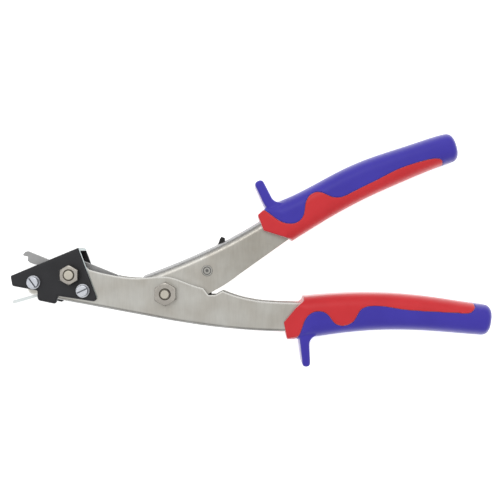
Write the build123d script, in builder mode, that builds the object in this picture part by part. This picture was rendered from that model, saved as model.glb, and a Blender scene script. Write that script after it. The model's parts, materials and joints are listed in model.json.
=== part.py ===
"""Hand nibbler for sheet metal: two pressed-steel levers, a die head and a hooked rocking cutter.

Frame: the tool lies on its side, +X from the head towards the grips, +Y towards the upper
handle, +Z up. The origin is on the main pivot's axis, in the plane that the tool rests on.
"""
from build123d import *
from math import atan2, cos, degrees, hypot, radians, sin, tan
import os

os.makedirs("parts", exist_ok=True)

# ---- driving dimensions (mm) ----
MID = 13.0              # height of the tool's mid-plane
SHEET = 2.0             # thickness of the levers' and the head's sheet steel
LOWER_HALF = 8.0        # half width of the lower lever's channel, outside
UPPER_HALF = 5.7        # half width of the upper lever's channel, outside
HEAD_HALF = LOWER_HALF + SHEET
GRIP_HALF = MID
CUTTER_HALF = 1.5
LATCH_HALF = 1.5
LOWER_BEND_R = 2.5      # outside bend radii of the two channels
UPPER_BEND_R = 4.9
TALL = 80.0             # long enough to cut through anything

PIVOT = (0.0, 0.0)      # upper lever on lower lever
HINGE = (-54.5, 11.0)   # cutter on the die head
DRIVE = (-24.0, -0.1)   # drive pin, handles open
FRONT_SCREW = (-75.7, 6.7)
REAR_SCREW = (-47.4, 1.9)
LATCH_AXIS = (23.7, 13.3)

BOLT_R = 3.0            # M6 bolts
BUSH_R = 4.5            # main pivot bush
CUTTER_BUSH_R = 4.25
RUNNING = 0.05          # radial clearance of a turning fit
SIDE_GAP = 0.1          # clearance beside a plate that turns between spacers
SCREW_R = 2.0           # M4 head screws
SLEEVE_R = 2.75
DRIVE_R = 2.5
RIVET_R = 2.0


def level(half):
    """Horizontal plane at a signed distance from the mid-plane."""
    return Plane.XY.offset(MID + half)


def cross_plane(x, y, heading):
    """Plane across a grip, its normal at an angle to +X in the side view."""
    ahead = (cos(radians(heading)), sin(radians(heading)), 0)
    return Plane(origin=(x, y, MID), x_dir=(0, 0, 1), z_dir=ahead)


def along(point, heading, distance):
    """Point at a distance from another, in a direction of the side view."""
    return (point[0] + distance * cos(radians(heading)), point[1] + distance * sin(radians(heading)))


def rod(point, radius, low, high):
    """Round bar across the tool, from one signed height to another."""
    with BuildPart() as bar:
        with BuildSketch(level(low)):
            with Locations(point):
                Circle(radius)
        extrude(amount=high - low)
    return bar.part


def pipe(point, outer, inner, low, high):
    """Round sleeve or washer across the tool."""
    with BuildPart() as tube:
        with BuildSketch(level(low)):
            with Locations(point):
                Circle(outer)
                Circle(inner, mode=Mode.SUBTRACT)
        extrude(amount=high - low)
    return tube.part


NUT_FLAT = 0.475        # radius of a nut's flat face, as a part of its width across flats
BORE_CHAMFER = 0.4


def hexagon(point, across_flats, bore, low, high, turn, ends):
    """Hex nut or bolt head, its corners turned to a cone at the ends named by signs."""
    corner = across_flats / 2 / cos(radians(30))
    flat_r = NUT_FLAT * across_flats
    fall = (corner - flat_r) * tan(radians(30))
    side = Plane(origin=(*point, MID), x_dir=(1, 0, 0), z_dir=(0, -1, 0))
    with BuildPart() as hexed:
        with BuildSketch(level(low)):
            with Locations(point):
                RegularPolygon(across_flats / 2, 6, major_radius=False, rotation=turn)
        extrude(amount=high - low)
        bottom = [(flat_r, low), (corner, low + fall)] if -1 in ends else [(corner, low)]
        top = [(corner, high - fall), (flat_r, high)] if 1 in ends else [(corner, high)]
        with BuildSketch(side):
            with BuildLine():
                Polyline((0, low), *bottom, *top, (0, high), close=True)
            make_face()
        revolve(axis=Axis((*point, 0), (0, 0, 1)), mode=Mode.INTERSECT)
        if bore:
            with BuildSketch(level(low)):
                with Locations(point):
                    Circle(bore)
            extrude(amount=high - low, mode=Mode.SUBTRACT)
            chamfer([e for e in hexed.edges().filter_by(GeomType.CIRCLE).group_by(Axis.Z)[-1]
                     if abs(e.radius - bore) < 0.01], BORE_CHAMFER)
    return hexed.part


# ---- lower lever ----
WEB_START = -62.0       # the web begins behind the die, the walls run on to the front screw
LOWER_BEND = (-4.2, -14.1)
LOWER_BELLY = (30.7, -19.5)
LOWER_GRIP_EDGE = (67.4, -22.0)
LOWER_TANG = ((60, -4.8), (74.2, -5.3), (150, -7.5), (150, -16.5), (102, -17), (82, -21), LOWER_GRIP_EDGE,
              (60, -21.7))
HEAD_TOP = (-50.1, 26.8)            # rear upper corner of the die head
HEAD_SLOPE = 22.6                   # slope of the die's top edge
LATCH_SLOT = (11.6, 28.6)           # X range of the latch slot in the lower web
LATCH_SLOT_HALF = 2.2
LATCH_SLOT_PLACE = (-18.0, 12.0)    # its middle and depth across the web
WALL_ENDS = ((FRONT_SCREW, 5.0), ((-75.6, 3.7), 4.2))   # centres and radii of the walls' round front ends
WEB_GAP = 0.2                       # between the walls' front ends and the die's web

with BuildPart() as lower_lever:
    with BuildSketch(level(-LOWER_HALF)):
        with BuildLine():
            Line((-78.0, -0.4), LOWER_BEND)
            ThreePointArc(LOWER_BEND, LOWER_BELLY, LOWER_GRIP_EDGE)
            Polyline(*LOWER_TANG[6:0:-1])
            Spline((74.2, -5.3), (60.8, -4.8), (52.0, -3.9), (44.5, -2.4), (32.7, 1.6))
            Polyline((32.7, 1.6), (28.6, -0.7), (24.6, -0.7), (21.5, 3.2))
            Spline((21.5, 3.2), (13.5, 5.7), (2.0, 9.6), (-15.3, 9.0), (-32.7, 11.0), (-44.2, 13.9))
            Polyline((-44.2, 13.9), (-51.0, 19.5), (-57.5, 20.8), (-79.3, 11.6), (-78.0, -0.4))
        make_face()
    extrude(amount=2 * LOWER_HALF)
    bottom = [e for e in lower_lever.edges()
              if abs(abs(e.center().Z - MID) - LOWER_HALF) < 0.01
              and e.center().Y < -6 and WEB_START < e.center().X < 70]
    fillet(bottom, LOWER_BEND_R)
    # inside of the channel, then the open front ahead of the web
    with BuildSketch(level(SHEET - LOWER_HALF)):
        with BuildLine():
            Line((-82.0, 2.3), (LOWER_BEND[0], LOWER_BEND[1] + SHEET))
            ThreePointArc((LOWER_BEND[0], LOWER_BEND[1] + SHEET), (LOWER_BELLY[0], LOWER_BELLY[1] + SHEET),
                          (LOWER_GRIP_EDGE[0], LOWER_GRIP_EDGE[1] + SHEET))
            Polyline((LOWER_GRIP_EDGE[0], LOWER_GRIP_EDGE[1] + SHEET), (82, -18.9), (102, -14.9),
                     (160, -14.4), (160, 40), (-82, 40), (-82.0, 2.3))
        make_face()
    extrude(amount=2 * (LOWER_HALF - SHEET), mode=Mode.SUBTRACT)
    with BuildSketch(level(SHEET - LOWER_HALF)):
        with Locations((WEB_START - 15, 0)):
            Rectangle(30, TALL)
    extrude(amount=2 * (LOWER_HALF - SHEET), mode=Mode.SUBTRACT)
    # rounded front ends of the walls, kept under the die's web
    for low in (-LOWER_HALF, LOWER_HALF - SHEET):
        with BuildSketch(level(low)):
            for centre, radius in WALL_ENDS:
                with Locations(centre):
                    Circle(radius)
            with Locations(along(HEAD_TOP, HEAD_SLOPE - 180, 30)):
                Rectangle(90, 2 * (SHEET + WEB_GAP), rotation=HEAD_SLOPE, mode=Mode.SUBTRACT)
        extrude(amount=SHEET)
    for point, radius in ((PIVOT, BOLT_R), (HINGE, BOLT_R), (FRONT_SCREW, SCREW_R), (REAR_SCREW, SCREW_R)):
        with BuildSketch(level(-LOWER_HALF)):
            with Locations(point):
                Circle(radius)
        extrude(amount=2 * LOWER_HALF, mode=Mode.SUBTRACT)
    # slot in the web that the latch hooks through
    with BuildSketch(level(-LATCH_SLOT_HALF)):
        with Locations(((LATCH_SLOT[0] + LATCH_SLOT[1]) / 2, LATCH_SLOT_PLACE[0])):
            Rectangle(LATCH_SLOT[1] - LATCH_SLOT[0], LATCH_SLOT_PLACE[1])
    extrude(amount=2 * LATCH_SLOT_HALF, mode=Mode.SUBTRACT)

# ---- die head: folded bracket with the cutter slot in its web ----
SLOT_HALF = 1.7
SLOT_FRONT = 40.0       # distances from the head's rear corner down the slope
SLOT_REAR = 14.5
HEAD_BEND_R = 1.6

with BuildPart() as die_head:
    with BuildSketch(level(-HEAD_HALF)):
        with BuildLine():
            FilletPolyline(along(HEAD_TOP, HEAD_SLOPE - 180, 42.6), HEAD_TOP, (-38.3, -4.9), (-61.9, -1.3),
                           (-63.1, -5.9), (-73.9, -3.7), (-73.9, 1.9), (-88.4, 4.5),
                           radius=(0.9, 0.8, 2.4, 0.8, 1.6, 2.2, 0.8, 1.6), close=True)
        make_face()
    extrude(amount=2 * HEAD_HALF)
    ridge = [e for e in die_head.edges().filter_by(GeomType.LINE)
             if e.length > 30 and abs(abs(e.center().Z - MID) - HEAD_HALF) < 0.01]
    fillet(ridge, HEAD_BEND_R)
    # space between the plates, under the web
    with BuildSketch(level(-LOWER_HALF)):
        with Locations(along(along(HEAD_TOP, HEAD_SLOPE - 180, 30), HEAD_SLOPE - 90, 30 + SHEET)):
            Rectangle(120, 60, rotation=HEAD_SLOPE)
    extrude(amount=2 * LOWER_HALF, mode=Mode.SUBTRACT)
    # cutter slot
    with BuildSketch(level(-SLOT_HALF)):
        with Locations(along(HEAD_TOP, HEAD_SLOPE - 180, (SLOT_FRONT + SLOT_REAR) / 2)):
            Rectangle(SLOT_FRONT - SLOT_REAR, 3 * SHEET, rotation=HEAD_SLOPE)
    extrude(amount=2 * SLOT_HALF, mode=Mode.SUBTRACT)
    for point, radius in ((HINGE, BOLT_R), (FRONT_SCREW, SCREW_R), (REAR_SCREW, SCREW_R)):
        with BuildSketch(level(-HEAD_HALF)):
            with Locations(point):
                Circle(radius)
        extrude(amount=2 * HEAD_HALF, mode=Mode.SUBTRACT)

# ---- fasteners of the two pivots ----
PIVOT_AF = 12.0
PIVOT_HEAD = 4.0        # height of the main bolt's head, which the tool rests on
PIVOT_NUT = 5.0
HINGE_AF = 10.0
HINGE_HEAD = 3.0
HINGE_NUT = 5.0
PIVOT_END = 1.2         # the bolts' ends stand this far past their nuts
HINGE_END = 0.4
PIVOT_END_CHAMFER = 0.7
HINGE_END_CHAMFER = 0.5
WASHER_R = 6.6
SPACER_R = 6.5

with BuildPart() as pivot_bolt:
    add(hexagon(PIVOT, PIVOT_AF, 0, -MID, PIVOT_HEAD - MID, 12, (-1,)))
    add(rod(PIVOT, BOLT_R, PIVOT_HEAD - MID, LOWER_HALF + PIVOT_NUT + PIVOT_END))
    chamfer(pivot_bolt.edges().filter_by(GeomType.CIRCLE).group_by(Axis.Z)[-1], PIVOT_END_CHAMFER)
with BuildPart() as pivot_washer:
    add(pipe(PIVOT, WASHER_R, BOLT_R, PIVOT_HEAD - MID, -LOWER_HALF))
with BuildPart() as pivot_nut:
    add(hexagon(PIVOT, PIVOT_AF, BOLT_R, LOWER_HALF, LOWER_HALF + PIVOT_NUT, 31, (-1, 1)))
with BuildPart() as pivot_bush:
    add(pipe(PIVOT, BUSH_R, BOLT_R, SHEET - LOWER_HALF, LOWER_HALF - SHEET))

with BuildPart() as cutter_bolt:
    add(hexagon(HINGE, HINGE_AF, 0, -MID, HINGE_HEAD - MID, 0, (-1,)))
    add(rod(HINGE, BOLT_R, HINGE_HEAD - MID, HEAD_HALF + HINGE_NUT + HINGE_END))
    chamfer(cutter_bolt.edges().filter_by(GeomType.CIRCLE).group_by(Axis.Z)[-1], HINGE_END_CHAMFER)
with BuildPart() as cutter_nut:
    add(hexagon(HINGE, HINGE_AF, BOLT_R, HEAD_HALF, HEAD_HALF + HINGE_NUT, 30, (-1, 1)))
with BuildPart() as cutter_bush:
    add(pipe(HINGE, CUTTER_BUSH_R, BOLT_R, SHEET - LOWER_HALF, LOWER_HALF - SHEET))
with BuildPart() as cutter_spacers:
    for low in (SHEET - LOWER_HALF, CUTTER_HALF + SIDE_GAP):
        add(pipe(HINGE, SPACER_R, CUTTER_BUSH_R, low, low + LOWER_HALF - SHEET - CUTTER_HALF - SIDE_GAP))

SCREW_HEAD_R = 3.3
SCREW_HEAD = 3.4
SCREW_HEAD_ROUND = 0.5
SCREW_TIP = 0.6         # the screws' ends stand this far below the head
FLANGE_R = 3.9
FLANGE = 0.8
SCREW_SLOT = 0.8        # width of the driver slot
SCREW_SLOT_DEPTH = 1.0


def head_screw(point, slot_turn):
    """Slotted cheese-head screw with a flange, through the head, the levers and a sleeve."""
    with BuildPart() as screw:
        add(rod(point, SCREW_R, -HEAD_HALF - SCREW_TIP, HEAD_HALF))
        add(rod(point, SCREW_HEAD_R, HEAD_HALF, HEAD_HALF + SCREW_HEAD))
        fillet(screw.edges().filter_by(GeomType.CIRCLE).group_by(Axis.Z)[-1], SCREW_HEAD_ROUND)
        add(rod(point, FLANGE_R, HEAD_HALF, HEAD_HALF + FLANGE))
        with BuildSketch(level(HEAD_HALF + SCREW_HEAD - SCREW_SLOT_DEPTH)):
            with Locations(point):
                Rectangle(3 * SCREW_HEAD_R, SCREW_SLOT, rotation=slot_turn)
        extrude(amount=2 * SCREW_SLOT_DEPTH, mode=Mode.SUBTRACT)
    return screw.part


with BuildPart() as front_screw:
    add(head_screw(FRONT_SCREW, -54))
with BuildPart() as rear_screw:
    add(head_screw(REAR_SCREW, 25))
with BuildPart() as front_sleeve:
    add(pipe(FRONT_SCREW, SLEEVE_R, SCREW_R, SHEET - LOWER_HALF, LOWER_HALF - SHEET))
with BuildPart() as rear_sleeve:
    add(pipe(REAR_SCREW, SLEEVE_R, SCREW_R, SHEET - LOWER_HALF, LOWER_HALF - SHEET))

# ---- strip guide: a leaf on the lower web that leads the cut strip out under the nose ----
LEAF_HALF = 4.0
with BuildPart() as strip_guide:
    with BuildSketch(level(-LEAF_HALF)):
        with BuildLine():
            FilletPolyline((-52.0, -2.42), (-63.0, -0.38), (-72.5, 0.5), (-79.0, -1.2), (-90.0, -4.1),
                           (-89.4, -6.1), (-79.0, -3.1), (-72.4, -1.1), (-63.0, -1.18), (-52.0, -3.22),
                           radius=(0.1, 4, 6, 6, 0.4, 0.4, 6, 6, 4, 0.1), close=True)
        make_face()
    extrude(amount=2 * LEAF_HALF)

# ---- cutter: rocker plate, hooked nose in the slot, tail on the drive pin ----
CLOSING = 23.0          # handle travel in degrees


def pin_from_hinge(closing):
    """Heading and distance of the drive pin from the hinge, with the handles partly closed."""
    radius = hypot(*DRIVE)
    turn = atan2(DRIVE[1], DRIVE[0]) - radians(closing)
    x, y = radius * cos(turn) - HINGE[0], radius * sin(turn) - HINGE[1]
    return degrees(atan2(y, x)), hypot(x, y)


CUTTER_EYE_R = 6.8
CUTTER_TAIL_R = 5.5
TAIL_SLOT_HALF = DRIVE_R + SIDE_GAP
STROKE_SLIDE = 0.8      # how far the slot's ends stand off either way
pin_line, pin_far = pin_from_hinge(0)
pin_near = pin_from_hinge(CLOSING / 2)[1]
pin_middle = (pin_far + pin_near) / 2

with BuildPart() as cutter:
    with BuildSketch(level(-CUTTER_HALF)):
        with BuildLine():
            Polyline((-63.2, 16.2), (-66.0, 18.2), (-81.6, 24.6), (-82.9, 24.3), (-84.4, 22.6), (-84.0, 21.9),
                     (-81.4, 21.4), (-81.6, 19.1), (-80.4, 17.9), (-77.4, 16.8), (-75.0, 16.6),
                     (-72.6, 14.6), (-71.2, 9.0), (-61.5, 6.0), (-50.4, 6.8), (-42.9, 4.15), (-27.8, -4.3),
                     (-22.0, -5.2), (-19.2, 2.6), (-29.5, 10.96), (-51.79, 19.83))
            ThreePointArc((-51.79, 19.83), (-58.08, 20.08), (-63.2, 16.2))
        make_face()
        with Locations(HINGE):
            Circle(CUTTER_EYE_R)
            Circle(CUTTER_BUSH_R + RUNNING, mode=Mode.SUBTRACT)
        with Locations(DRIVE):
            Circle(CUTTER_TAIL_R)
        with Locations(along(HINGE, pin_line, pin_middle)):
            SlotCenterToCenter(2 * STROKE_SLIDE, 2 * TAIL_SLOT_HALF, rotation=pin_line, mode=Mode.SUBTRACT)
    extrude(amount=2 * CUTTER_HALF)

# ---- upper lever ----
UPPER_SLOPE = 27.0      # mean slope of its outer edge
ARM_FRONT = -13.5       # the web begins here, two bare arms run on to the drive pin
UPPER_BACK = ((-14.0, 10.2), (7.6, 18.6), (30.8, 29.1), (52.8, 41.3), (66.0, 49.8))
UPPER_TANG = ((52.8, 41.3), (66.0, 49.8), (100, 65.5), (144, 81.5), (148, 73.0), (104, 55.0), (72.0, 32.2),
              (60, 23.8))
TAB_SLOT = (26.6, 37.4)  # X range of the thumb tab's slot in the upper web
TAB_SLOT_PLACE = (31.0, 16.0)       # its middle and depth across the web
TAB_CLEARANCE = 0.4
PIN_CHAMFER = 0.3

with BuildPart() as upper_lever:
    with BuildSketch(level(-UPPER_HALF)):
        with BuildLine():
            Polyline((-28.6, 1.0), (-26.0, 4.6), (-14.0, 10.2))
            Spline(*UPPER_BACK)
            Polyline(*UPPER_TANG[1:7])
            Line((72.0, 32.2), (42.4, 11.2))
            Spline((42.4, 11.2), (30.8, 3.3), (25.0, 0.2))
            FilletPolyline((25.0, 0.2), (9.0, -8.0), (-6.0, -8.6), (-24.0, -5.1), (-28.6, -3.2), (-28.6, 1.0),
                           radius=(3, 6, 3, 1.5))
        make_face()
    extrude(amount=2 * UPPER_HALF)
    ridge = [e for e in upper_lever.edges()
             if abs(abs(e.center().Z - MID) - UPPER_HALF) < 0.01 and e.length > 70
             and e.center().Y > e.center().X * 0.5 + 9]
    fillet(ridge, UPPER_BEND_R)
    inward = (SHEET * sin(radians(UPPER_SLOPE)), -SHEET * cos(radians(UPPER_SLOPE)))
    with BuildSketch(level(SHEET - UPPER_HALF)):
        with BuildLine():
            shifted = [(x + inward[0], y + inward[1]) for x, y in UPPER_BACK]
            Spline(*shifted)
            Polyline(shifted[-1], (101, 63.4), (160, 85.0), (160, -20), (-13.1, -20), shifted[0])
        make_face()
    extrude(amount=2 * (UPPER_HALF - SHEET), mode=Mode.SUBTRACT)
    with BuildSketch(level(SHEET - UPPER_HALF)):
        with Locations((ARM_FRONT - 10, 0)):
            Rectangle(20, TALL)
    extrude(amount=2 * (UPPER_HALF - SHEET), mode=Mode.SUBTRACT)
    for point, radius in ((PIVOT, BUSH_R + RUNNING), (DRIVE, DRIVE_R), (LATCH_AXIS, RIVET_R)):
        with BuildSketch(level(-UPPER_HALF)):
            with Locations(point):
                Circle(radius)
        extrude(amount=2 * UPPER_HALF, mode=Mode.SUBTRACT)
    with BuildSketch(level(-LATCH_HALF - TAB_CLEARANCE)):
        with Locations(((TAB_SLOT[0] + TAB_SLOT[1]) / 2, TAB_SLOT_PLACE[0])):
            Rectangle(TAB_SLOT[1] - TAB_SLOT[0], TAB_SLOT_PLACE[1])
    extrude(amount=2 * (LATCH_HALF + TAB_CLEARANCE), mode=Mode.SUBTRACT)

with BuildPart() as drive_pin:
    add(rod(DRIVE, DRIVE_R, -UPPER_HALF, UPPER_HALF))
    chamfer(drive_pin.edges().filter_by(GeomType.CIRCLE), PIN_CHAMFER)

# ---- latch on its rivet inside the upper channel ----
RIVET_HEAD = 0.7
RIVET_HEAD_R = 3.2
RIVET_RING = (1.9, 2.4)     # radii of the groove pressed into each rivet head
RIVET_HOLE_R = 0.9
RIVET_ROUND = 0.35
LATCH_SPACER_R = 4.0
LATCH_EYE_R = 4.6
with BuildPart() as latch_rivet:
    add(rod(LATCH_AXIS, RIVET_R, -UPPER_HALF, UPPER_HALF))
    for low in (-UPPER_HALF - RIVET_HEAD, UPPER_HALF):
        add(rod(LATCH_AXIS, RIVET_HEAD_R, low, low + RIVET_HEAD))
    for end in (0, -1):
        fillet(latch_rivet.edges().filter_by(GeomType.CIRCLE).group_by(Axis.Z)[end], RIVET_ROUND)
    for face, way in ((-UPPER_HALF - RIVET_HEAD, 1), (UPPER_HALF + RIVET_HEAD, -1)):
        with BuildSketch(level(face)):
            with Locations(LATCH_AXIS):
                Circle(RIVET_RING[1])
                Circle(RIVET_RING[0], mode=Mode.SUBTRACT)
                Circle(RIVET_HOLE_R)
        extrude(amount=way * RIVET_HEAD / 2, mode=Mode.SUBTRACT)
with BuildPart() as latch_spacers:
    for low in (SHEET - UPPER_HALF, LATCH_HALF + SIDE_GAP):
        add(pipe(LATCH_AXIS, LATCH_SPACER_R, RIVET_R, low, low + UPPER_HALF - SHEET - LATCH_HALF - SIDE_GAP))
with BuildPart() as latch:
    with BuildSketch(level(-LATCH_HALF)):
        with BuildLine():
            Polyline((30.2, 29.6), (31.0, 32.0), (32.0, 33.2), (34.0, 32.2), (33.4, 28.0), (28.6, 15.0),
                     (27.2, 8.0), (25.9, 2.0), (26.1, -0.8), (28.7, -4.5), (29.6, -10.2), (24.3, -13.2),
                     (23.9, -10.9), (26.2, -9.4), (25.6, -5.0), (23.2, -0.5), (22.0, 5.0), (19.2, 11.5),
                     (19.5, 17.0), (24.0, 19.2), (30.2, 29.6))
        make_face()
        with Locations(LATCH_AXIS):
            Circle(LATCH_EYE_R)
            Circle(RIVET_R + RUNNING, mode=Mode.SUBTRACT)
    extrude(amount=2 * LATCH_HALF)

# ---- opening spring: leg spring round the pivot bush ----
WIRE_R = 0.8
COIL_R = 5.8
COIL_PITCH = 1.65
UPPER_LEG = 50.0        # headings of the two legs
LOWER_LEG = -32.0
UPPER_LEG_LENGTH = 14.2
LOWER_LEG_LENGTH = 16.0
coil_start = 90 + UPPER_LEG
coil_turns = 3 + (270 + LOWER_LEG - coil_start) / 360
coil_height = COIL_PITCH * coil_turns


def wire(start, heading, length, height):
    """Straight length of spring wire in a plane across the pivot axis."""
    x, y = start
    with BuildPart() as leg:
        with BuildSketch(Plane(origin=(x, y, height), z_dir=(cos(radians(heading)), sin(radians(heading)), 0))):
            Circle(WIRE_R)
        extrude(amount=length)
    return leg.part


with BuildPart() as opening_spring:
    with BuildLine(Plane.XY.offset(MID - coil_height / 2).rotated((0, 0, coil_start))):
        coil = Helix(COIL_PITCH, coil_height, COIL_R)
    with BuildSketch(Plane(coil @ 0, z_dir=coil % 0)):
        Circle(WIRE_R)
    sweep(path=coil, is_frenet=True)
    add(wire(along(PIVOT, coil_start, COIL_R), UPPER_LEG, UPPER_LEG_LENGTH, MID - coil_height / 2))
    add(wire(along(PIVOT, LOWER_LEG - 90, COIL_R), LOWER_LEG, LOWER_LEG_LENGTH, MID + coil_height / 2))

# ---- grips: rounded handles lofted along their axes ----
GRIP_WIDTH = 2 * GRIP_HALF
GRIP_CORNER = 8.0
GRIP_END_R = 4.0
GUARD_HALF = 10.5
GUARD_RIM = 1.5
FACET_RUN = 30.0
FACET_ANGLE = 14.0


def grip_shape(stations, front, crease):
    """Loft through sections given as (x, y, heading, height), its front cut to an outline.

    Ahead of the crease, given as (x, y, heading), the two flat sides slope in towards the lever."""
    x, y, heading = crease
    run = (cos(radians(heading)), sin(radians(heading)), 0)
    slope_plane = Plane(origin=(x, y, MID), x_dir=run, z_dir=(-run[1], run[0], 0))
    drop = FACET_RUN * tan(radians(FACET_ANGLE))
    with BuildPart() as grip:
        for x, y, heading, height in stations:
            with BuildSketch(cross_plane(x, y, heading)):
                RectangleRounded(GRIP_WIDTH, height, GRIP_CORNER)
        loft()
        end_face = grip.faces().sort_by(Axis.X)[-1]
        fillet(end_face.edges(), GRIP_END_R)
        for side in (-1, 1):
            with BuildSketch(slope_plane):
                with BuildLine():
                    Polyline((0, side * GRIP_HALF), (-FACET_RUN, side * (GRIP_HALF - drop)),
                             (-FACET_RUN, side * 2 * GRIP_HALF), (0, side * 2 * GRIP_HALF), close=True)
                make_face()
            extrude(amount=TALL / 2, both=True, mode=Mode.SUBTRACT)
        with BuildSketch(level(-TALL / 2)):
            with BuildLine():
                Polyline(*front, close=True)
            make_face()
        extrude(amount=TALL, mode=Mode.SUBTRACT)
    return grip.part


def side_prism(points, curved, half):
    """Plate across the tool inside a side-view outline, a smooth edge closed by straight ones."""
    with BuildPart() as prism:
        with BuildSketch(level(-half)):
            with BuildLine():
                Spline(*curved)
                Polyline(curved[-1], *points, curved[0])
            make_face()
        extrude(amount=2 * half)
    return prism.part


def guard_shape(corners, radii):
    """Finger guard: a fin with a rounded tip and softened rims."""
    with BuildPart() as guard:
        with BuildSketch(level(-GUARD_HALF)):
            with BuildLine():
                FilletPolyline(*corners, radius=radii, close=True)
            make_face()
        extrude(amount=2 * GUARD_HALF)
        fillet([e for e in guard.edges() if abs(abs(e.center().Z - MID) - GUARD_HALF) < 0.01], GUARD_RIM)
    return guard.part


def tang_prism(outline, half):
    """The space that a lever's tang takes inside a grip."""
    with BuildPart() as prism:
        with BuildSketch(level(-half)):
            with BuildLine():
                Polyline(*outline, close=True)
            make_face()
        extrude(amount=2 * half)
    return prism.part


LOWER_STATIONS = ((60, -14.0, 4, 23.6), (78, -13.9, 4, 24.2), (95, -12.0, 3, 23.4), (120, -10.4, 0, 21.8),
                  (145, -11.1, -5, 20.3), (165, -13.1, -6, 18.9), (178, -14.6, -6, 18.1), (187.4, -15.4, -8, 17.8))
LOWER_FRONT = ((50, -32), (71.2, -32), (69.8, -25.5), (68.0, -16.4), (75.1, -7.7), (79.4, -3.9), (80.0, 10),
               (50, 10))
LOWER_WAVE = ((73.0, -27.5), (78.2, -20.2), (81.5, -12.6), (87.3, -9.7), (93.0, -11.6), (97.3, -16.8),
              (102.5, -18.0), (107.8, -15.4), (112.1, -8.7), (119.7, -6.6), (134.2, -8.4), (152.4, -9.9),
              (170.5, -10.9), (175.4, -10.3), (177.6, -8.0), (178.3, -4.0), (178.0, 2.0))
LOWER_GUARD = ((95, -19.5), (82.7, -26.2), (83.4, -42.0), (78.8, -42.0), (76.6, -22))
LOWER_GUARD_RADII = (1.8, 5, 2.1, 2.1, 1.8)

UPPER_STATIONS = ((52.2, 32.8, 29, 25.0), (66.4, 40.8, 29, 24.6), (76.6, 46.0, 29, 22.7),
                  (102.1, 60.1, 27, 21.2), (128.3, 71.8, 23, 19.9), (152.2, 80.7, 19, 17.8),
                  (167.4, 85.2, 17, 16.8))
UPPER_FRONT = ((40, 60), (58.0, 50.0), (53.0, 45.4), (56.4, 36.5), (73.0, 31.2), (75, 20), (40, 20))
UPPER_WAVE = ((50.0, 51.0), (60.5, 45.6), (67.8, 41.0), (75.0, 40.9), (78.9, 44.5), (80.5, 52.5), (84.5, 57.8),
              (88.2, 58.5), (94.8, 55.9), (99.5, 55.3), (105.4, 57.5), (113.5, 61.6), (122.8, 66.2),
              (131.9, 70.9), (144.1, 75.3), (153.6, 77.5), (158.3, 77.0), (160.3, 73.0), (160.8, 66.0))
UPPER_GUARD = ((76, 52), (62.2, 53.2), (55.6, 66.2), (50.7, 64.0), (56.8, 51.0), (66, 42))
UPPER_GUARD_RADII = (1.8, 5, 2.2, 2.2, 8, 1.8)
THUMB_DIP = ((60.2, 57.0), (62.6, 53.9), (68.4, 56.9), (79.0, 64.2), (79, 78), (58, 78))
THUMB_DIP_RADII = (0.1, 3.5, 12, 0.1, 0.1, 0.1)

lower_grip_shape = grip_shape(LOWER_STATIONS, LOWER_FRONT, (82.0, -14.0, 18))
with BuildPart() as upper_grip_outer:
    add(grip_shape(UPPER_STATIONS, UPPER_FRONT, (68.0, 42.0, 20)))
    with BuildSketch(level(-TALL / 2)):
        with BuildLine():
            FilletPolyline(*THUMB_DIP, radius=THUMB_DIP_RADII, close=True)
        make_face()
    extrude(amount=TALL, mode=Mode.SUBTRACT)

with BuildPart() as lower_grip_cushion:
    add(lower_grip_shape)
    add(side_prism(((200, 10), (200, -50), (60, -50)), LOWER_WAVE, TALL / 2), mode=Mode.INTERSECT)
    add(guard_shape(LOWER_GUARD, LOWER_GUARD_RADII))
    add(tang_prism(LOWER_TANG, LOWER_HALF), mode=Mode.SUBTRACT)
with BuildPart() as lower_grip_body:
    add(lower_grip_shape)
    add(lower_grip_cushion.part, mode=Mode.SUBTRACT)
    add(lower_lever.part, mode=Mode.SUBTRACT)
with BuildPart() as upper_grip_cushion:
    add(upper_grip_outer.part)
    add(side_prism(((190, 66), (190, 110), (40, 110)), UPPER_WAVE, TALL / 2), mode=Mode.INTERSECT)
    add(guard_shape(UPPER_GUARD, UPPER_GUARD_RADII))
    add(tang_prism(UPPER_TANG, UPPER_HALF), mode=Mode.SUBTRACT)
with BuildPart() as upper_grip_body:
    add(upper_grip_outer.part)
    add(upper_grip_cushion.part, mode=Mode.SUBTRACT)
    add(upper_lever.part, mode=Mode.SUBTRACT)

pieces = {
    "lower_lever": lower_lever, "die_head": die_head, "pivot_bolt": pivot_bolt,
    "pivot_washer": pivot_washer, "pivot_nut": pivot_nut, "pivot_bush": pivot_bush,
    "cutter_bolt": cutter_bolt, "cutter_nut": cutter_nut, "cutter_bush": cutter_bush,
    "cutter_spacers": cutter_spacers, "front_screw": front_screw, "rear_screw": rear_screw,
    "front_sleeve": front_sleeve, "rear_sleeve": rear_sleeve, "strip_guide": strip_guide,
    "cutter": cutter, "upper_lever": upper_lever, "drive_pin": drive_pin,
    "latch_rivet": latch_rivet, "latch_spacers": latch_spacers, "latch": latch,
    "opening_spring": opening_spring, "lower_grip_body": lower_grip_body,
    "lower_grip_cushion": lower_grip_cushion, "upper_grip_body": upper_grip_body,
    "upper_grip_cushion": upper_grip_cushion,
}
for name, piece in pieces.items():
    piece.part.label = name
    export_step(piece.part, f"parts/{name}.step")
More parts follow.
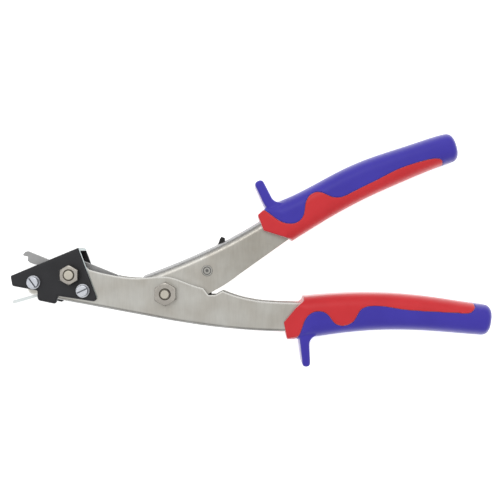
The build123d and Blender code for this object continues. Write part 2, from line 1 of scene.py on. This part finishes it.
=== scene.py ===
import bpy
import bmesh
import json
from math import cos, pi, radians, sin, tau
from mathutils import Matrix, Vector


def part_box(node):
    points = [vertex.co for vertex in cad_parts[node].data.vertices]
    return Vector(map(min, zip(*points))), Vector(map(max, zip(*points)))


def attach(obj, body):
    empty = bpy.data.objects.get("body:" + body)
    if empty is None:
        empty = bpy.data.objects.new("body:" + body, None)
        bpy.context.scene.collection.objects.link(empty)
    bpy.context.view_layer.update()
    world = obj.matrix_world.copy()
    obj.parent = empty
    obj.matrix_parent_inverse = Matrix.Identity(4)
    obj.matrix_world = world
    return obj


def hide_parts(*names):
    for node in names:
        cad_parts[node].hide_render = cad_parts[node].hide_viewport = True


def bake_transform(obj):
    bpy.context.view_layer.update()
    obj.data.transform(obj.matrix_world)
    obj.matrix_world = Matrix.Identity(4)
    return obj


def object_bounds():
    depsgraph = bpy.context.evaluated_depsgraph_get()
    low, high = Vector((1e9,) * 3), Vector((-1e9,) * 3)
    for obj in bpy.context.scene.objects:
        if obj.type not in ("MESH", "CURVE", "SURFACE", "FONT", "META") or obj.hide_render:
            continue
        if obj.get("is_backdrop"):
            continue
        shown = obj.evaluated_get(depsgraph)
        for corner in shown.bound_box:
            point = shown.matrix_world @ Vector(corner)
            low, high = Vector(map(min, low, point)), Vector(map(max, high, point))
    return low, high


# A hand nibbler on a white table, dressed for rendering. Lengths are in metres, and MM turns millimetres
# into metres. X runs along the tool to its grips, and Z across it, up to the camera.
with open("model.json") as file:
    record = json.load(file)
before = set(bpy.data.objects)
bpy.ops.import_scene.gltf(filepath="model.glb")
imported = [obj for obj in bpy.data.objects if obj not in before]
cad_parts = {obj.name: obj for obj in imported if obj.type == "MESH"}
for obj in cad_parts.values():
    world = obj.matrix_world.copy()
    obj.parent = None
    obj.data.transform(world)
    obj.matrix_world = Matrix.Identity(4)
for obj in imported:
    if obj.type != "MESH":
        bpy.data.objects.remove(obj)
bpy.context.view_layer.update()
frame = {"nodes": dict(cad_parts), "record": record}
MM = 0.001
NODES = frame["nodes"]
BODY_OF = {node: body for body, group in frame["record"]["behaviour"]["bodies"].items() for node in group}


# ---- shader building blocks ----
NOISE_RANGE = (0.3, 0.7)    # nearly all of a noise's values lie in here


def grey(level):
    """A neutral colour."""
    return (level, level, level)


def new_material(name, color, roughness, metallic=0.0):
    """A principled material, its node tree and its shader."""
    mat = bpy.data.materials.new(name)
    mat.use_nodes = True
    tree = mat.node_tree
    shader = tree.nodes["Principled BSDF"]
    shader.inputs["Base Color"].default_value = (*color, 1)
    shader.inputs["Roughness"].default_value = roughness
    shader.inputs["Metallic"].default_value = metallic
    return mat, tree, shader


def noise(tree, scale, detail, stretch=(1, 1, 1)):
    """Noise in object space (metres), drawn out in one direction for grinding marks."""
    coords = tree.nodes.new("ShaderNodeTexCoord")
    mapping = tree.nodes.new("ShaderNodeMapping")
    mapping.inputs["Scale"].default_value = stretch
    node = tree.nodes.new("ShaderNodeTexNoise")
    node.inputs["Scale"].default_value = scale
    node.inputs["Detail"].default_value = detail
    tree.links.new(coords.outputs["Object"], mapping.inputs["Vector"])
    tree.links.new(mapping.outputs["Vector"], node.inputs["Vector"])
    return node.outputs["Fac"]


def ramp(tree, value, stops):
    """Colour ramp through (position, colour) stops."""
    node = tree.nodes.new("ShaderNodeValToRGB")
    elements = node.color_ramp.elements
    while len(elements) < len(stops):
        elements.new(0.5)
    for element, (place, color) in zip(elements, stops):
        element.position = place
        element.color = (*color, 1)
    tree.links.new(value, node.inputs["Fac"])
    return node.outputs["Color"]


def mix(tree, factor, first, second, blend="MIX"):
    """Mix of two colours; each input is a socket or a fixed value."""
    node = tree.nodes.new("ShaderNodeMix")
    node.data_type = "RGBA"
    node.blend_type = blend
    inputs = (node.inputs["Factor"], node.inputs[6], node.inputs[7])
    for socket, value in zip(inputs, (factor, first, second)):
        if isinstance(value, bpy.types.NodeSocket):
            tree.links.new(value, socket)
        elif isinstance(value, tuple):
            socket.default_value = (*value, 1)
        else:
            socket.default_value = value
    return node.outputs[2]


def map_range(tree, value, source, target=(0.0, 1.0), curve="LINEAR"):
    """Maps a value from one range onto another and stops at the ends."""
    node = tree.nodes.new("ShaderNodeMapRange")
    node.interpolation_type = curve
    for name, number in zip(("From Min", "From Max", "To Min", "To Max"), (*source, *target)):
        node.inputs[name].default_value = number
    tree.links.new(value, node.inputs["Value"])
    return node.outputs["Result"]


def edge_mask(tree, reach, low, high):
    """1 on edges, where the surface bends within the reach, and 0 elsewhere.

    The dot product of the true normal and the rounded one gives 1 up to low and 0 from high.
    """
    bevel = tree.nodes.new("ShaderNodeBevel")
    bevel.samples = 6
    bevel.inputs["Radius"].default_value = reach
    geometry = tree.nodes.new("ShaderNodeNewGeometry")
    dot = tree.nodes.new("ShaderNodeVectorMath")
    dot.operation = "DOT_PRODUCT"
    tree.links.new(bevel.outputs["Normal"], dot.inputs[0])
    tree.links.new(geometry.outputs["Normal"], dot.inputs[1])
    return map_range(tree, dot.outputs["Value"], (low, high), (1.0, 0.0))


def flatness(tree, low, high):
    """1 on faces that look straight along Z, across the tool, and 0 on bends, rims and cut edges."""
    geometry = tree.nodes.new("ShaderNodeNewGeometry")
    split = tree.nodes.new("ShaderNodeSeparateXYZ")
    tree.links.new(geometry.outputs["Normal"], split.inputs["Vector"])
    size = tree.nodes.new("ShaderNodeMath")
    size.operation = "ABSOLUTE"
    tree.links.new(split.outputs["Z"], size.inputs[0])
    return map_range(tree, size.outputs["Value"], (low, high))


def along(tree, start, end):
    """0 to 1 along the tool, from one place on the X axis to another."""
    coords = tree.nodes.new("ShaderNodeTexCoord")
    split = tree.nodes.new("ShaderNodeSeparateXYZ")
    tree.links.new(coords.outputs["Object"], split.inputs["Vector"])
    return map_range(tree, split.outputs["X"], (start, end), curve="SMOOTHSTEP")


def uneven_gloss(tree, shader, pattern, roughness, glossier, duller):
    """Lets the roughness wander with a pattern, on both sides of its own value."""
    rough = map_range(tree, pattern, NOISE_RANGE, (roughness - glossier, roughness + duller))
    tree.links.new(rough, shader.inputs["Roughness"])


def bump(tree, shader, height, strength, distance):
    """Feeds a height into the shader's normal."""
    node = tree.nodes.new("ShaderNodeBump")
    node.inputs["Strength"].default_value = strength
    node.inputs["Distance"].default_value = distance
    tree.links.new(height, node.inputs["Height"])
    tree.links.new(node.outputs["Normal"], shader.inputs["Normal"])


# ---- materials ----
TOWARDS_GRIP_STRETCH = (12 * MM, 52 * MM)    # where the upper lever gets duller, from the pivot to its grip
EDGE_HIGHLIGHT_REACH = 1.8 * MM                    # width of the painted highlight along a lever's sheared edge
GRIP_EDGE_HIGHLIGHT_REACH = 1.2 * MM                    # width of the painted highlight along a grip's edges
WEAR_REACH = 0.35 * MM                  # width of the worn edge of black steel
GRIP_EDGE_HIGHLIGHT_GAIN = 1.25
GRIP_EDGE_HIGHLIGHT_LIFT = 0.03
WORN_STEEL = (0.42, 0.45, 0.46)


def metal(name, color, dark, roughness, grain=(1, 1, 1), grain_scale=900.0, marks=0.25,
          painted_side_shade=None, turn=(0.35, 0.8), towards_grip_tint=None, painted_edge_highlight=None):
    """Bare or plated metal with a cloudy colour, fine directional marks and uneven gloss.

    painted_side_shade is painted shade on the surfaces that turn away from Z, over the range in turn.
    towards_grip_tint darkens the stretch towards the grip, and painted_edge_highlight is the colour of a
    painted highlight along the sheared edges.
    """
    mat, tree, shader = new_material(name, color, roughness, 1.0)
    clouds = noise(tree, scale=55.0, detail=5.0)
    fine = noise(tree, grain_scale, detail=3.0, stretch=grain)
    base = ramp(tree, clouds, ((0.32, dark), (0.62, color)))
    streak = ramp(tree, fine, ((0.35, grey(0.82)), (0.65, grey(1.0))))
    base = mix(tree, marks, base, mix(tree, 1.0, base, streak, "MULTIPLY"))
    # Darker and warmer towards the grip.
    if towards_grip_tint:
        tinted = mix(tree, 1.0, base, towards_grip_tint, "MULTIPLY")
        base = mix(tree, along(tree, *TOWARDS_GRIP_STRETCH), base, tinted)
    # Painted highlight: a bright line along the sheared edges.
    if painted_edge_highlight:
        base = mix(tree, edge_mask(tree, EDGE_HIGHLIGHT_REACH, low=0.93, high=0.999), base, painted_edge_highlight)
    # Painted shade: the surfaces that turn away from Z take the darker side colour.
    if painted_side_shade:
        base = mix(tree, flatness(tree, *turn), painted_side_shade, base)
    tree.links.new(base, shader.inputs["Base Color"])
    uneven_gloss(tree, shader, fine, roughness, glossier=0.05, duller=0.08)
    bump(tree, shader, fine, strength=0.12, distance=0.05 * MM)
    return mat


def plastic(name, color, deep, roughness, grain_scale):
    """Moulded plastic with a fine grain, faint clouding, a painted highlight along its edges and a pale haze
    at a shallow angle.
    """
    mat, tree, shader = new_material(name, color, roughness)
    clouds = noise(tree, scale=60.0, detail=3.0)
    grain = noise(tree, grain_scale, detail=2.0)
    base = ramp(tree, clouds, ((0.3, deep), (0.7, color)))
    # Painted highlight: the colour is lightened along the grip's edges.
    lightened_edge_color = tuple(min(1.0, channel * GRIP_EDGE_HIGHLIGHT_GAIN + GRIP_EDGE_HIGHLIGHT_LIFT) for channel in color)
    lightened_edge_color = mix(tree, 0.35, base, lightened_edge_color)
    wear_and_edge_highlight = mix(tree, edge_mask(tree, GRIP_EDGE_HIGHLIGHT_REACH, low=0.80, high=0.99), base, lightened_edge_color)
    tree.links.new(wear_and_edge_highlight, shader.inputs["Base Color"])
    uneven_gloss(tree, shader, grain, roughness, glossier=0.04, duller=0.06)
    shader.inputs["Specular IOR Level"].default_value = 0.32
    shader.inputs["Sheen Weight"].default_value = 1.0
    shader.inputs["Sheen Roughness"].default_value = 0.42
    bump(tree, shader, grain, strength=0.10, distance=0.12 * MM)
    return mat


def blackened(name, color, roughness):
    """Black-finished steel with bare metal showing in scuffs along its edges."""
    mat, tree, shader = new_material(name, color, roughness, 0.35)
    grain = noise(tree, scale=1400.0, detail=3.0)
    clouds = noise(tree, scale=90.0, detail=4.0)
    darker = tuple(channel * 0.75 for channel in color)
    base = ramp(tree, clouds, ((0.3, darker), (0.7, color)))
    scuffs = ramp(tree, noise(tree, scale=420.0, detail=6.0), ((0.50, grey(0)), (0.62, grey(1))))
    wear_and_edge_highlight = mix(tree, 1.0, edge_mask(tree, WEAR_REACH, low=0.72, high=0.97), scuffs, "MULTIPLY")
    tree.links.new(mix(tree, wear_and_edge_highlight, base, WORN_STEEL), shader.inputs["Base Color"])
    uneven_gloss(tree, shader, grain, roughness, glossier=0.06, duller=0.10)
    bump(tree, shader, grain, strength=0.18, distance=0.08 * MM)
    return mat


PLATING = dict(color=(0.64, 0.63, 0.59), dark=(0.54, 0.515, 0.465), roughness=0.34,
               grain=(3.0, 0.25, 1.0), grain_scale=500.0, marks=0.28)
# The side colours are painted shade on the bends, rims and sides that turn away from Z.
NICKEL = metal("nickel_plate", **PLATING, painted_side_shade=grey(0.30), turn=(0.55, 0.95), painted_edge_highlight=(0.95, 0.94, 0.90))
UPPER_NICKEL = metal("nickel_plate_upper", **PLATING, painted_side_shade=grey(0.42), turn=(0.70, 0.98),
                     towards_grip_tint=(0.76, 0.745, 0.72))
RIVET = metal("rivet_head", (0.56, 0.55, 0.52), (0.46, 0.45, 0.42), 0.36, painted_side_shade=grey(0.10), turn=(0.5, 0.95))
CUT_EDGE = metal("bare_cut_edge", (0.52, 0.58, 0.58), (0.42, 0.47, 0.47), 0.45)
LEAF = metal("bright_leaf", (0.95, 0.98, 0.98), (0.88, 0.93, 0.93), 0.50)
ZINC = metal("zinc_nut", (0.61, 0.575, 0.52), (0.48, 0.45, 0.41), 0.28,
             painted_side_shade=(0.22, 0.20, 0.17), turn=(0.2, 0.9))
BOLT_END = metal("bolt_end", (0.73, 0.69, 0.59), (0.62, 0.58, 0.50), 0.38,
                 painted_side_shade=(0.26, 0.24, 0.20), turn=(0.80, 0.97))
SCREW = metal("bright_screw", (0.86, 0.88, 0.94), (0.66, 0.69, 0.76), 0.26,
              painted_side_shade=(0.06, 0.06, 0.07), turn=(0.35, 0.75))
# Painted shade in the screw slots and the rivet's groove.
SLOT_PAINTED_SHADE = metal("slot_painted_shade", (0.34, 0.35, 0.39), (0.20, 0.21, 0.24), 0.5)
RIVET_GROOVE_PAINTED_SHADE = metal("rivet_groove_painted_shade", (0.26, 0.26, 0.25), (0.18, 0.18, 0.17), 0.5)
PLAIN = metal("plain_steel", grey(0.50), grey(0.38), 0.32)
TOOL = metal("tool_steel", grey(0.46), grey(0.38), 0.48, grain=(3.0, 0.4, 1.0))
BLACK = blackened("black_steel", (0.030, 0.030, 0.034), 0.42)
LATCH_BLACK = blackened("latch_black", grey(0.016), 0.45)
RED = plastic("red_grip", (0.76, 0.028, 0.037), (0.70, 0.022, 0.030), 0.40, grain_scale=2600.0)
BLUE = plastic("blue_grip", (0.052, 0.036, 0.47), (0.045, 0.030, 0.43), 0.42, grain_scale=2200.0)

FINISHES = {
    "lower_lever": NICKEL, "upper_lever": UPPER_NICKEL, "strip_guide": LEAF, "latch_rivet": RIVET,
    "die_head": BLACK, "latch": LATCH_BLACK, "cutter": TOOL, "opening_spring": PLAIN,
    "pivot_bolt": BOLT_END, "cutter_bolt": BOLT_END, "pivot_nut": ZINC, "cutter_nut": ZINC,
    "pivot_washer": ZINC, "pivot_bush": PLAIN, "cutter_bush": PLAIN, "cutter_spacers": PLAIN,
    "front_screw": SCREW, "rear_screw": SCREW, "front_sleeve": PLAIN, "rear_sleeve": PLAIN,
    "drive_pin": PLAIN, "latch_spacers": PLAIN,
    "lower_grip_body": RED, "upper_grip_body": RED, "lower_grip_cushion": BLUE, "upper_grip_cushion": BLUE,
}


# ---- pieces made from the CAD shapes ----
# How far the edges of each pressed, turned or ground piece are broken, in millimetres.
BROKEN_EDGES = {
    "lower_lever": 0.30, "upper_lever": 0.30, "die_head": 0.25, "cutter": 0.15, "latch": 0.25,
    "strip_guide": 0.12, "pivot_nut": 0.18, "cutter_nut": 0.18, "pivot_bolt": 0.15, "cutter_bolt": 0.15,
    "front_screw": 0.10, "rear_screw": 0.10, "pivot_washer": 0.12, "latch_rivet": 0.08,
}
GRIPS = ("lower_grip_body", "lower_grip_cushion", "upper_grip_body", "upper_grip_cushion")
WELD_GAP = 0.002 * MM
SLIVER = 0.003 * MM             # shorter edges than this are left over from the bevel and go
COPLANAR = radians(1)
BROKEN_ANGLE = radians(32)      # only edges sharper than this are broken
SHARP_ANGLE = radians(30)
WIRE_SHARP_ANGLE = radians(50)
GRIP_VOXEL = 0.6 * MM
HEAD_REAR = Vector((0.937, 0.349, 0.0))     # which way the die head's sheared rear edges look
REAR_FACING = 0.8
SCREW_SLOT_DEPTH = 1.0 * MM
RIVET_GROOVE_DEPTH = 0.35 * MM
LEVEL = 0.9                     # a floor's normal is at least this far along Z


def add_object(name, data):
    """A new object in the scene."""
    made = bpy.data.objects.new(name, data)
    bpy.context.scene.collection.objects.link(made)
    return made


def copy_of(node, name):
    """A piece with the CAD node's own shape, welded and ready for more detail."""
    piece = add_object(name, NODES[node].data.copy())
    mesh = bmesh.new()
    mesh.from_mesh(piece.data)
    bmesh.ops.remove_doubles(mesh, verts=mesh.verts, dist=WELD_GAP)
    mesh.to_mesh(piece.data)
    mesh.free()
    return piece


def evaluated_mesh(made):
    """A mesh of an object as its modifiers or its curve make it."""
    graph = bpy.context.evaluated_depsgraph_get()
    return bpy.data.meshes.new_from_object(made.evaluated_get(graph))


def apply_modifiers(piece):
    """Bakes a piece's modifiers into its mesh."""
    result = evaluated_mesh(piece)
    piece.modifiers.clear()
    piece.data = result


def stand_for(piece, node):
    """Gives a piece the finish of the CAD node whose place it takes, and hides that node."""
    piece.data.materials.clear()
    piece.data.materials.append(FINISHES[node])
    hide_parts(node)


def shade_by_angle(piece, angle):
    """Drops slivers and shades smoothly, with sharp edges where faces meet at more than the angle."""
    mesh = bmesh.new()
    mesh.from_mesh(piece.data)
    bmesh.ops.remove_doubles(mesh, verts=mesh.verts, dist=SLIVER)
    bmesh.ops.dissolve_degenerate(mesh, edges=mesh.edges, dist=SLIVER)
    for face in mesh.faces:
        face.smooth = True
    for edge in mesh.edges:
        edge.smooth = len(edge.link_faces) == 2 and edge.calc_face_angle(pi) < angle
    mesh.to_mesh(piece.data)
    mesh.free()


def eased(node, width):
    """A pressed, turned or ground piece with its sharp edges broken."""
    piece = copy_of(node, node + "_finished")
    flat = piece.modifiers.new("flat", "DECIMATE")
    flat.decimate_type = "DISSOLVE"
    flat.angle_limit = COPLANAR
    soft = piece.modifiers.new("edges", "BEVEL")
    soft.width = width
    soft.segments = 2
    soft.limit_method = "ANGLE"
    soft.angle_limit = BROKEN_ANGLE
    soft.use_clamp_overlap = True
    soft.harden_normals = False
    apply_modifiers(piece)
    shade_by_angle(piece, SHARP_ANGLE)
    even = piece.modifiers.new("even", "WEIGHTED_NORMAL")
    even.weight = 80
    even.keep_sharp = True
    apply_modifiers(piece)
    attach(piece, BODY_OF[node])
    stand_for(piece, node)


def moulded(node):
    """A moulded grip piece: the CAD shape remeshed and relaxed so that its rims are soft."""
    piece = copy_of(node, node + "_moulded")
    skin = piece.modifiers.new("skin", "REMESH")
    skin.mode = "VOXEL"
    skin.voxel_size = GRIP_VOXEL
    relax = piece.modifiers.new("relax", "SMOOTH")
    relax.factor = 0.5
    relax.iterations = 1
    apply_modifiers(piece)
    for face in piece.data.polygons:
        face.use_smooth = True
    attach(piece, BODY_OF[node])
    stand_for(piece, node)


def bare_rear_edges():
    """The die head's sheared rear edges are bare metal."""
    head = bpy.data.objects["die_head_finished"]
    head.data.materials.append(CUT_EDGE)
    for face in head.data.polygons:
        if face.normal.dot(HEAD_REAR) > REAR_FACING:
            face.material_index = 1


def shaded_floor(node, depth, material):
    """A slot or ring sunk this far into a fastener's two ends gets a dull, dark material: painted shade on
    its floor.
    """
    piece = bpy.data.objects[node + "_finished"]
    bottom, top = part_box(node)
    piece.data.materials.append(material)
    for face in piece.data.polygons:
        sunk = min(top.z - face.center.z, face.center.z - bottom.z)
        if abs(sunk - depth) < 0.1 * depth and abs(face.normal.z) > LEVEL:
            face.material_index = 1


for node, width in BROKEN_EDGES.items():
    eased(node, width * MM)
for node in GRIPS:
    moulded(node)
bare_rear_edges()
for node in ("front_screw", "rear_screw"):
    shaded_floor(node, SCREW_SLOT_DEPTH, SLOT_PAINTED_SHADE)
shaded_floor("latch_rivet", RIVET_GROOVE_DEPTH, RIVET_GROOVE_PAINTED_SHADE)


# ---- opening spring ----
WIRE_R = 0.8 * MM
COIL_R = 5.8 * MM
COIL_TURNS = 3.272
COIL_STEPS = 84
UPPER_LEG_HEADING = radians(50)
UPPER_LEG_LENGTH = 14.2 * MM
LOWER_LEG_HEADING = radians(-32)
LOWER_LEG_LENGTH = 16.0 * MM


def leg(heading, length):
    """From the coil to a leg's end."""
    return length * Vector((cos(heading), sin(heading), 0))


def sprung_wire():
    """The opening spring as a round wire: a coil wound between its two straight legs, in the CAD spring's
    place.
    """
    bottom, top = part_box("opening_spring")
    low_z = bottom.z + WIRE_R
    high_z = top.z - WIRE_R
    points = []
    for step in range(COIL_STEPS + 1):
        part = step / COIL_STEPS
        angle = UPPER_LEG_HEADING + pi / 2 + part * COIL_TURNS * tau
        points.append(Vector((COIL_R * cos(angle), COIL_R * sin(angle), low_z + part * (high_z - low_z))))
    points.insert(0, points[0] + leg(UPPER_LEG_HEADING, UPPER_LEG_LENGTH))
    points.append(points[-1] + leg(LOWER_LEG_HEADING, LOWER_LEG_LENGTH))
    curve = bpy.data.curves.new("spring_line", "CURVE")
    curve.dimensions = "3D"
    curve.bevel_depth = WIRE_R
    curve.bevel_resolution = 4
    curve.use_fill_caps = True
    line = curve.splines.new("POLY")
    line.points.add(len(points) - 1)
    for point, place in zip(line.points, points):
        point.co = (*place, 1)
    line_object = add_object("spring_line", curve)
    mesh = evaluated_mesh(line_object)
    bpy.data.objects.remove(line_object)
    spring = add_object("opening_spring_wire", mesh)
    shade_by_angle(spring, WIRE_SHARP_ANGLE)
    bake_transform(spring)
    stand_for(spring, "opening_spring")


sprung_wire()
for node, material in FINISHES.items():
    carried = NODES[node]
    carried.data.materials.clear()
    carried.data.materials.append(material)


# ---- camera, floor and light ----
VIEW_CENTRE = Vector((48.6, 25.3, 13.0)) * MM
VIEW_DISTANCE = 440 * MM
LENS = 53.9                     # millimetres, on a sensor 36 mm wide
SENSOR = 36.0
CLIP_START = 0.01
TABLE_HALF = 3.0
TABLE_GAP = 0.2 * MM            # between the table and the tool's lowest point
TABLE_GLOW = 0.70
KEY_PLACE = Vector((-0.12, 0.44, 0.84))     # from the middle of the tool
KEY_SIZE = 0.34
KEY_WATTS = 0.9
# What the steel mirrors, from the horizon and below it (0) to straight above (1).
SKY = ((0.0, grey(0.30)), (0.28, grey(0.32)), (0.52, grey(0.66)), (0.78, grey(0.98)), (0.90, grey(0.86)),
       (0.97, (0.68, 0.68, 0.67)))
SKY_STRENGTH = 1.1
LOWER_SIDE_FADE = (-0.75, -0.10)            # along Y, from the side that the lower grip bends to
LOWER_SIDE_LEVEL = 0.64                     # how much of the light is left on that side
BACKDROP = grey(0.92)


def camera():
    """Looks straight down on the middle of the tool."""
    data = bpy.data.cameras.new("camera")
    data.lens = LENS
    data.sensor_width = SENSOR
    data.clip_start = CLIP_START
    eye = add_object("camera", data)
    eye.location = VIEW_CENTRE + Vector((0, 0, VIEW_DISTANCE))
    eye.rotation_euler = (0, 0, 0)
    bpy.context.scene.camera = eye


def floor():
    """Plain white table that the tool lies on."""
    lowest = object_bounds()[0].z
    mat, tree, shader = new_material("white_table", grey(0.93), 0.9)
    shader.inputs["Emission Color"].default_value = (1, 1, 1, 1)
    shader.inputs["Emission Strength"].default_value = TABLE_GLOW
    mesh = bpy.data.meshes.new("floor")
    corners = [(x * TABLE_HALF, y * TABLE_HALF, 0) for x, y in ((-1, -1), (1, -1), (1, 1), (-1, 1))]
    mesh.from_pydata(corners, [], [(0, 1, 2, 3)])
    mesh.materials.append(mat)
    table = add_object("floor", mesh)
    table.location.z = lowest - TABLE_GAP
    table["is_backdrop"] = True


def key_light():
    """Square softbox aimed at the middle of the tool."""
    data = bpy.data.lights.new("key", "AREA")
    data.energy = KEY_WATTS
    data.size = KEY_SIZE
    lamp = add_object("key", data)
    lamp.location = VIEW_CENTRE + KEY_PLACE
    lamp.rotation_euler = (-KEY_PLACE).to_track_quat("-Z", "Y").to_euler()


def studio_sky():
    """Bright walls and a greyer ceiling and horizon for the steel to mirror. The backdrop is plain white."""
    world = bpy.data.worlds.new("world")
    bpy.context.scene.world = world
    world.use_nodes = True
    tree = world.node_tree
    coords = tree.nodes.new("ShaderNodeTexCoord")
    split = tree.nodes.new("ShaderNodeSeparateXYZ")
    tree.links.new(coords.outputs["Generated"], split.inputs["Vector"])
    height = ramp(tree, split.outputs["Z"], SKY)
    lower_side = map_range(tree, split.outputs["Y"], LOWER_SIDE_FADE, (LOWER_SIDE_LEVEL, 1.0))
    color = mix(tree, 1.0, height, lower_side, "MULTIPLY")
    seen = tree.nodes.new("ShaderNodeLightPath").outputs["Is Camera Ray"]
    color = mix(tree, seen, color, BACKDROP)
    background = tree.nodes["Background"]
    tree.links.new(color, background.inputs["Color"])
    background.inputs["Strength"].default_value = SKY_STRENGTH


camera()
floor()
key_light()
studio_sky()
bpy.context.scene.view_settings.view_transform = "Standard"
